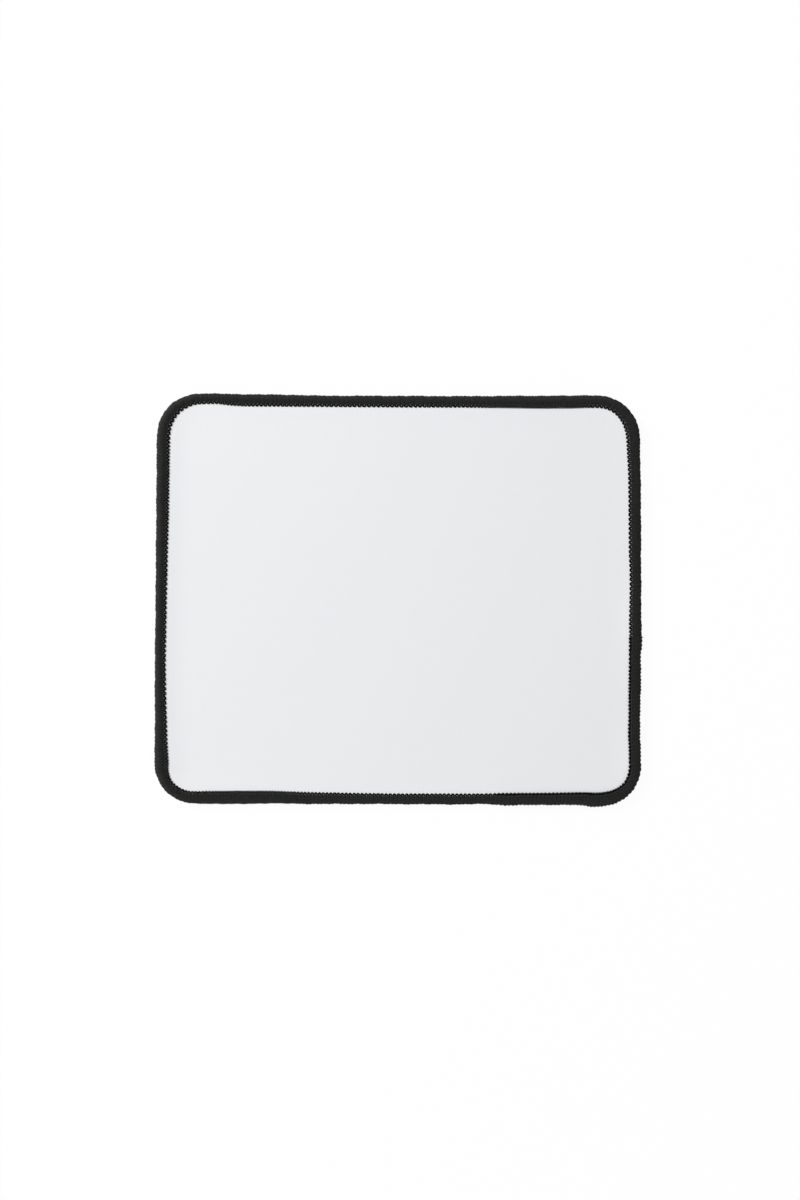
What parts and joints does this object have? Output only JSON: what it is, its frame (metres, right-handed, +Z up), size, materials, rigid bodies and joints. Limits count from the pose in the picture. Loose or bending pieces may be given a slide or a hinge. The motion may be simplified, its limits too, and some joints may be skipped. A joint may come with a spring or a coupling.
{
  "type": "mouse pad",
  "caption": "Rectangular mouse pad with rounded corners: a white cloth face on black foam rubber, its edge bound all round by black overlock stitching.",
  "frame": {"origin": "middle of the underside, on the surface that the pad lies on", "axes": "+X along the longer side, towards the right as a person uses it; +Y away from the person; +Z up through the cloth"},
  "size_m": [0.25, 0.21, 0.004],
  "materials": {
    "foam_rubber": "matt black foam rubber with a fine anti-slip texture underneath",
    "cloth": "smooth matt white polyester knit",
    "thread": "soft textured black sewing yarn",
    "needle_thread": "fine twisted black sewing thread"
  },
  "bodies": {
    "root": {"rubber_base": "foam_rubber", "top_cloth": "cloth", "lower_looper_thread": "thread", "upper_looper_thread": "thread", "needle_thread": "needle_thread"}
  },
  "joints": []
}
